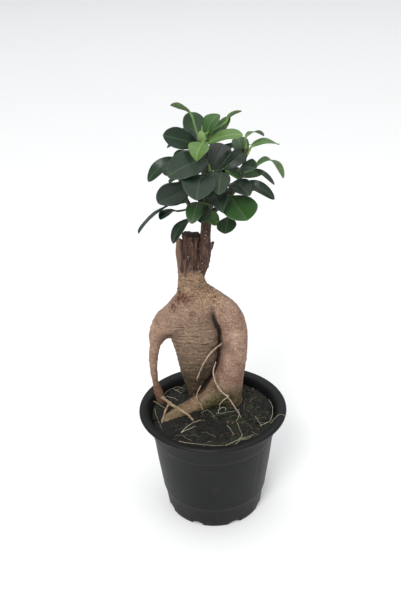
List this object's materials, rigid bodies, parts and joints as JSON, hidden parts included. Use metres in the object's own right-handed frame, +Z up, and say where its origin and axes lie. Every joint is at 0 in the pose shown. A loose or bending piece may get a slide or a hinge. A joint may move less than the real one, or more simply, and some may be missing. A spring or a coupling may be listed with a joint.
{
  "type": "potted ginseng ficus",
  "caption": "Small ginseng ficus with a swollen root trunk, a grafted leafy crown and a black tapered nursery pot with a flared lip.",
  "frame": {"origin": "centre of the pot's foot, on the surface it stands on", "axes": "+Z up along the plant, front of the plant towards -Y, thick right limb towards +X"},
  "size_m": [0.127, 0.127, 0.3587],
  "materials": {
    "pot_plastic": "moulded black polypropylene, satin with fine scuffs",
    "potting_soil": "dark damp potting mix with fibres and moss",
    "trunk_bark": "smooth tan bark with fine cross wrinkles",
    "stem_bark": "rough red-brown bark",
    "leaf_green": "thick waxy leaf, semi-gloss",
    "leaf_young": "soft young leaf, semi-gloss"
  },
  "bodies": {
    "root": {"pot": "pot_plastic", "soil": "potting_soil", "root_trunk": "trunk_bark", "graft_stem": "stem_bark", "shoot_top": "leaf_green", "shoot_left": "leaf_green", "shoot_right": "leaf_green", "shoot_front": "leaf_green", "shoot_back": "leaf_green", "young_tip": "leaf_young"}
  },
  "joints": []
}
